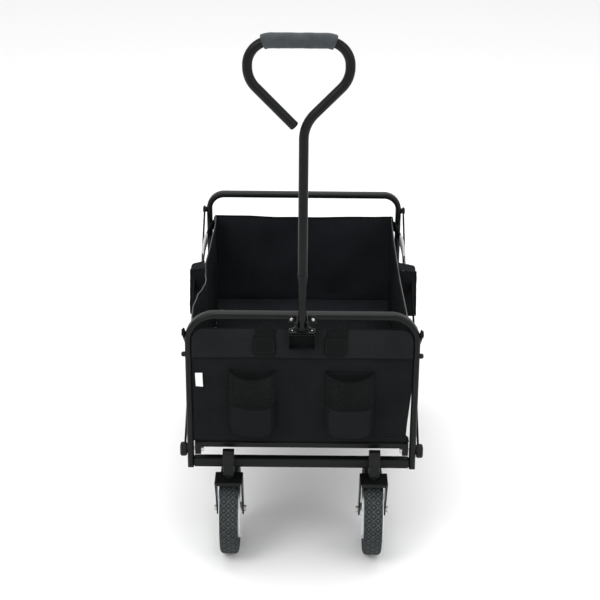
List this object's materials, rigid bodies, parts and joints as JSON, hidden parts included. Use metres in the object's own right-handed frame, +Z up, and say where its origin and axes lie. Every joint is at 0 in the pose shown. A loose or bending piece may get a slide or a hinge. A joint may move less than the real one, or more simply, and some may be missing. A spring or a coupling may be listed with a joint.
{
  "type": "folding pull wagon",
  "caption": "Folding utility wagon: a soft black tub on a steel scissor frame with swivel casters in front and a telescoping pull handle",
  "frame": {"origin": "on the ground, under the middle of the wagon's overall length and width", "axes": "+Z up, -Y is the front where the pull handle is, +X is right as seen from the front"},
  "size_m": [0.532, 0.9768, 1.1974],
  "materials": {
    "powder_coat": "satin black powder coat",
    "black_plastic": "fine moulded texture",
    "bright_steel": "zinc plated",
    "tyre_rubber": "matt, raised diamond tread",
    "hub_plastic": "light grey moulding",
    "grip_foam": "soft closed-cell foam",
    "woven_fabric": "black coated polyester weave",
    "mesh_fabric": "black open mesh over plain weave"
  },
  "bodies": {
    "rear_frame": {"rear_hoop": "powder_coat", "rear_crossbar": "powder_coat", "rear_panel": "woven_fabric", "rear_wheel_block_left": "powder_coat", "rear_wheel_block_right": "powder_coat", "rear_fork_left": "powder_coat", "rear_fork_right": "powder_coat", "rear_axle_bolt_left": "bright_steel", "rear_axle_bolt_right": "bright_steel", "rear_knob_bolt_left": "black_plastic", "rear_knob_bolt_right": "black_plastic", "rear_floor_screw_left": "bright_steel", "rear_floor_screw_right": "bright_steel", "side_panel_left": "woven_fabric", "side_panel_right": "woven_fabric", "carry_handle_left": "woven_fabric", "carry_handle_right": "woven_fabric"},
    "rear_wheel_left": {"rear_tyre_left": "tyre_rubber", "rear_hub_left": "hub_plastic"},
    "rear_wheel_right": {"rear_tyre_right": "tyre_rubber", "rear_hub_right": "hub_plastic"},
    "floor_rear": {"floor_frame_rear": "powder_coat", "floor_board_rear": "woven_fabric"},
    "floor_front": {"floor_frame_front": "powder_coat", "floor_board_front": "woven_fabric"},
    "front_frame": {"front_hoop": "powder_coat", "front_crossbar": "powder_coat", "front_panel": "woven_fabric", "handle_bracket": "powder_coat", "front_wheel_block_left": "powder_coat", "front_wheel_block_right": "powder_coat", "front_knob_bolt_left": "black_plastic", "front_knob_bolt_right": "black_plastic", "front_floor_screw_left": "bright_steel", "front_floor_screw_right": "bright_steel", "closing_strap_left": "woven_fabric", "closing_strap_right": "woven_fabric", "cup_pocket_left": "mesh_fabric", "cup_pocket_right": "mesh_fabric"},
    "handle_lower": {"handle_post": "powder_coat"},
    "handle_upper": {"handle_loop": "powder_coat", "handle_collar": "black_plastic", "handle_grip": "grip_foam"},
    "release_button": {"release_button": "black_plastic"},
    "caster_left": {"front_fork_left": "powder_coat", "front_axle_bolt_left": "bright_steel"},
    "front_wheel_left": {"front_tyre_left": "tyre_rubber", "front_hub_left": "hub_plastic"},
    "front_pinned_bar_left": {"front_pinned_bar_left": "powder_coat"},
    "front_sliding_bar_left": {"front_sliding_bar_left": "powder_coat"},
    "rear_pinned_bar_left": {"rear_pinned_bar_left": "powder_coat"},
    "rear_sliding_bar_left": {"rear_sliding_bar_left": "powder_coat"},
    "caster_right": {"front_fork_right": "powder_coat", "front_axle_bolt_right": "bright_steel"},
    "front_wheel_right": {"front_tyre_right": "tyre_rubber", "front_hub_right": "hub_plastic"},
    "front_pinned_bar_right": {"front_pinned_bar_right": "powder_coat"},
    "front_sliding_bar_right": {"front_sliding_bar_right": "powder_coat"},
    "rear_pinned_bar_right": {"rear_pinned_bar_right": "powder_coat"},
    "rear_sliding_bar_right": {"rear_sliding_bar_right": "powder_coat"}
  },
  "joints": [
    {"name": "fold", "type": "hinge", "parent": "rear_frame", "child": "floor_rear", "pos_m": [0, 0.3414, 0.268], "axis": [-1, 0, 0], "range_deg": [0, 75], "deforming": ["side_panel_left", "side_panel_right", "carry_handle_left", "carry_handle_right"]},
    {"name": "floor_centre", "type": "hinge", "parent": "floor_rear", "child": "floor_front", "pos_m": [0, -0.0336, 0.264], "axis": [1, 0, 0], "range_deg": [0, 150]},
    {"name": "front_fold", "type": "hinge", "parent": "floor_front", "child": "front_frame", "pos_m": [0, -0.4086, 0.268], "axis": [-1, 0, 0], "range_deg": [0, 75]},
    {"name": "rear_wheel_turn_left", "type": "hinge", "parent": "rear_frame", "child": "rear_wheel_left", "pos_m": [-0.159, 0.3864, 0.102], "axis": [1, 0, 0], "continuous": true},
    {"name": "caster_swivel_left", "type": "hinge", "parent": "front_frame", "child": "caster_left", "pos_m": [-0.159, -0.4339, 0.2087], "axis": [0, 0, 1], "continuous": true},
    {"name": "front_wheel_turn_left", "type": "hinge", "parent": "caster_left", "child": "front_wheel_left", "pos_m": [-0.159, -0.3864, 0.102], "axis": [1, 0, 0], "continuous": true},
    {"name": "front_pinned_bar_left", "type": "hinge", "parent": "front_frame", "child": "front_pinned_bar_left", "pos_m": [-0.2535, -0.4086, 0.548], "axis": [-1, 0, 0], "range_deg": [0, 40.36]},
    {"name": "front_scissor_pivot_left", "type": "hinge", "parent": "front_pinned_bar_left", "child": "front_sliding_bar_left", "pos_m": [-0.2542, -0.21324, 0.39901], "axis": [1, 0, 0], "range_deg": [0, 82.64]},
    {"name": "rear_pinned_bar_left", "type": "hinge", "parent": "rear_frame", "child": "rear_pinned_bar_left", "pos_m": [-0.2535, 0.3414, 0.548], "axis": [1, 0, 0], "range_deg": [0, 40.36]},
    {"name": "rear_scissor_pivot_left", "type": "hinge", "parent": "rear_pinned_bar_left", "child": "rear_sliding_bar_left", "pos_m": [-0.2542, 0.14605, 0.39901], "axis": [-1, 0, 0], "range_deg": [0, 82.64]},
    {"name": "rear_wheel_turn_right", "type": "hinge", "parent": "rear_frame", "child": "rear_wheel_right", "pos_m": [0.159, 0.3864, 0.102], "axis": [1, 0, 0], "continuous": true},
    {"name": "caster_swivel_right", "type": "hinge", "parent": "front_frame", "child": "caster_right", "pos_m": [0.159, -0.4339, 0.2087], "axis": [0, 0, 1], "continuous": true},
    {"name": "front_wheel_turn_right", "type": "hinge", "parent": "caster_right", "child": "front_wheel_right", "pos_m": [0.159, -0.3864, 0.102], "axis": [1, 0, 0], "continuous": true},
    {"name": "front_pinned_bar_right", "type": "hinge", "parent": "front_frame", "child": "front_pinned_bar_right", "pos_m": [0.2535, -0.4086, 0.548], "axis": [-1, 0, 0], "range_deg": [0, 40.36]},
    {"name": "front_scissor_pivot_right", "type": "hinge", "parent": "front_pinned_bar_right", "child": "front_sliding_bar_right", "pos_m": [0.2542, -0.21324, 0.39901], "axis": [1, 0, 0], "range_deg": [0, 82.64]},
    {"name": "rear_pinned_bar_right", "type": "hinge", "parent": "rear_frame", "child": "rear_pinned_bar_right", "pos_m": [0.2535, 0.3414, 0.548], "axis": [1, 0, 0], "range_deg": [0, 40.36]},
    {"name": "rear_scissor_pivot_right", "type": "hinge", "parent": "rear_pinned_bar_right", "child": "rear_sliding_bar_right", "pos_m": [0.2542, 0.14605, 0.39901], "axis": [-1, 0, 0], "range_deg": [0, 82.64]},
    {"name": "handle_tilt", "type": "hinge", "parent": "front_frame", "child": "handle_lower", "pos_m": [-0.001, -0.4386, 0.585], "axis": [1, 0, 0], "range_deg": [0, 110]},
    {"name": "handle_extend", "type": "slide", "parent": "handle_lower", "child": "handle_upper", "axis": [0, 0, 1], "range_m": [0, 0.24]},
    {"name": "release_press", "type": "slide", "parent": "handle_upper", "child": "release_button", "axis": [0, -1, 0], "range_m": [0, 0.0009], "stiffness_N_per_m": 150, "springref_m": -0.002}
  ],
  "couplings": [
    {"joint": "floor_centre", "follows": "fold", "ratio": 2},
    {"joint": "front_fold", "follows": "fold", "ratio": 1},
    {"joint": "front_pinned_bar_left", "follows": "fold", "ratio": 0.5375},
    {"joint": "front_scissor_pivot_left", "follows": "fold", "ratio": 1.1005},
    {"joint": "rear_pinned_bar_left", "follows": "fold", "ratio": 0.5375},
    {"joint": "rear_scissor_pivot_left", "follows": "fold", "ratio": 1.1005},
    {"joint": "front_pinned_bar_right", "follows": "fold", "ratio": 0.5375},
    {"joint": "front_scissor_pivot_right", "follows": "fold", "ratio": 1.1005},
    {"joint": "rear_pinned_bar_right", "follows": "fold", "ratio": 0.5375},
    {"joint": "rear_scissor_pivot_right", "follows": "fold", "ratio": 1.1005}
  ]
}
